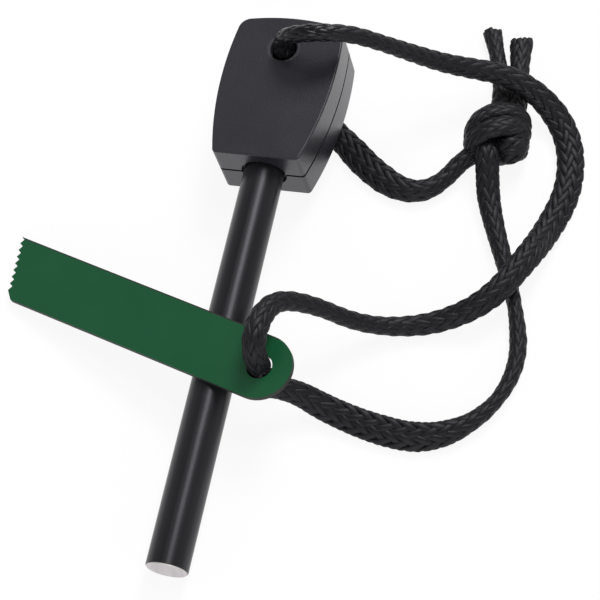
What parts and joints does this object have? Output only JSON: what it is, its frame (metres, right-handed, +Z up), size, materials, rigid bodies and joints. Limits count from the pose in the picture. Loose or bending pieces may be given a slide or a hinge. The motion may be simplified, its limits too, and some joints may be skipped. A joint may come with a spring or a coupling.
{
  "type": "ferro rod fire starter",
  "caption": "Ferrocerium rod in a two-shell moulded handle, with a toothed steel striker tied to it by a knotted loop of braided lanyard cord.",
  "frame": {"origin": "on the surface that the object lies on, below the centre of the footprint box of the handle, rod and striker", "axes": "+Y along the object from the rod's tip to the handle, +Z up, +X towards the striker's hole and the cord's loop; the object lies as it rests, its rod tilted up towards the handle and its handle rolled 10 degrees"},
  "size_m": [0.1051, 0.1294, 0.0284],
  "materials": {
    "handle_plastic": "fine-grained matte black moulding",
    "rod_coating": "satin black lacquer, bare grey metal at the tip",
    "striker_paint": "semi-matte dark green paint",
    "cord_braid": "braided black nylon"
  },
  "bodies": {
    "handle": {"handle_front_shell": "handle_plastic", "handle_rear_shell": "handle_plastic", "ferro_rod": "rod_coating", "cord_handle_to_striker": "cord_braid", "cord_striker_to_knot": "cord_braid", "cord_knot_to_handle": "cord_braid", "cord_tail_left": "cord_braid", "cord_tail_right": "cord_braid", "cord_knot": "cord_braid"},
    "striker": {"striker_blade": "striker_paint"}
  },
  "joints": [
    {"name": "striker_swing", "type": "hinge", "parent": "handle", "child": "striker", "pos_m": [0.02371, -0.01815, 0.01321], "axis": [-0.2496, -0.0654, 0.9661], "range_deg": [-35, 220]}
  ]
}
